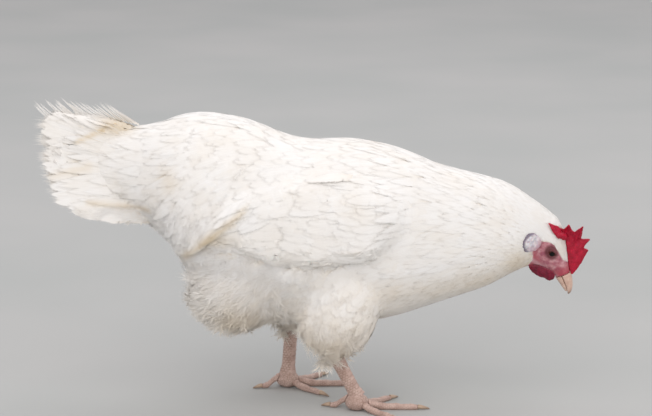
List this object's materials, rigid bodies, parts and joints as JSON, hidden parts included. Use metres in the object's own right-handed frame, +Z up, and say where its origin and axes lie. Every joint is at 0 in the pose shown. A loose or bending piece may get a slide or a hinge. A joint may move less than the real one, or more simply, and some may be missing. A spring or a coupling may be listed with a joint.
{
  "type": "white leghorn hen",
  "caption": "Still model of a white laying hen feeding: head low, back level, tail carried low, small red comb, bare legs with one foot ahead.",
  "frame": {"origin": "centre of the bounding box, on the floor the hen stands on", "axes": "+X the way the hen faces, +Y her left side, +Z up"},
  "size_m": [0.5102, 0.1576, 0.2921],
  "materials": {
    "plumage": "white feathers, soft",
    "face": "bare skin, dusty pink",
    "comb": "granular, crimson",
    "wattle": "fine wrinkled skin, dark red",
    "ear_lobe": "smooth, white with a lavender edge",
    "horn": "bill horn, satin",
    "claw": "claw horn, satin",
    "leg_skin": "scaled skin, flesh-coloured",
    "eye": "wet, dark"
  },
  "bodies": {
    "root": {"bill_lower": "horn", "bill_upper": "horn", "claw_left_hind": "claw", "claw_left_inner": "claw", "claw_left_middle": "claw", "claw_left_outer": "claw", "claw_right_hind": "claw", "claw_right_inner": "claw", "claw_right_middle": "claw", "claw_right_outer": "claw", "comb": "comb", "ear_lobe_left": "ear_lobe", "ear_lobe_right": "ear_lobe", "eye_left": "eye", "eye_right": "eye", "head": "face", "neck": "plumage", "shank_left": "leg_skin", "shank_right": "leg_skin", "tail": "plumage", "thigh_left": "plumage", "thigh_right": "plumage", "toe_left_hind": "leg_skin", "toe_left_inner": "leg_skin", "toe_left_middle": "leg_skin", "toe_left_outer": "leg_skin", "toe_right_hind": "leg_skin", "toe_right_inner": "leg_skin", "toe_right_middle": "leg_skin", "toe_right_outer": "leg_skin", "torso": "plumage", "wattle_left": "wattle", "wattle_right": "wattle", "wing_left": "plumage", "wing_right": "plumage"}
  },
  "joints": []
}
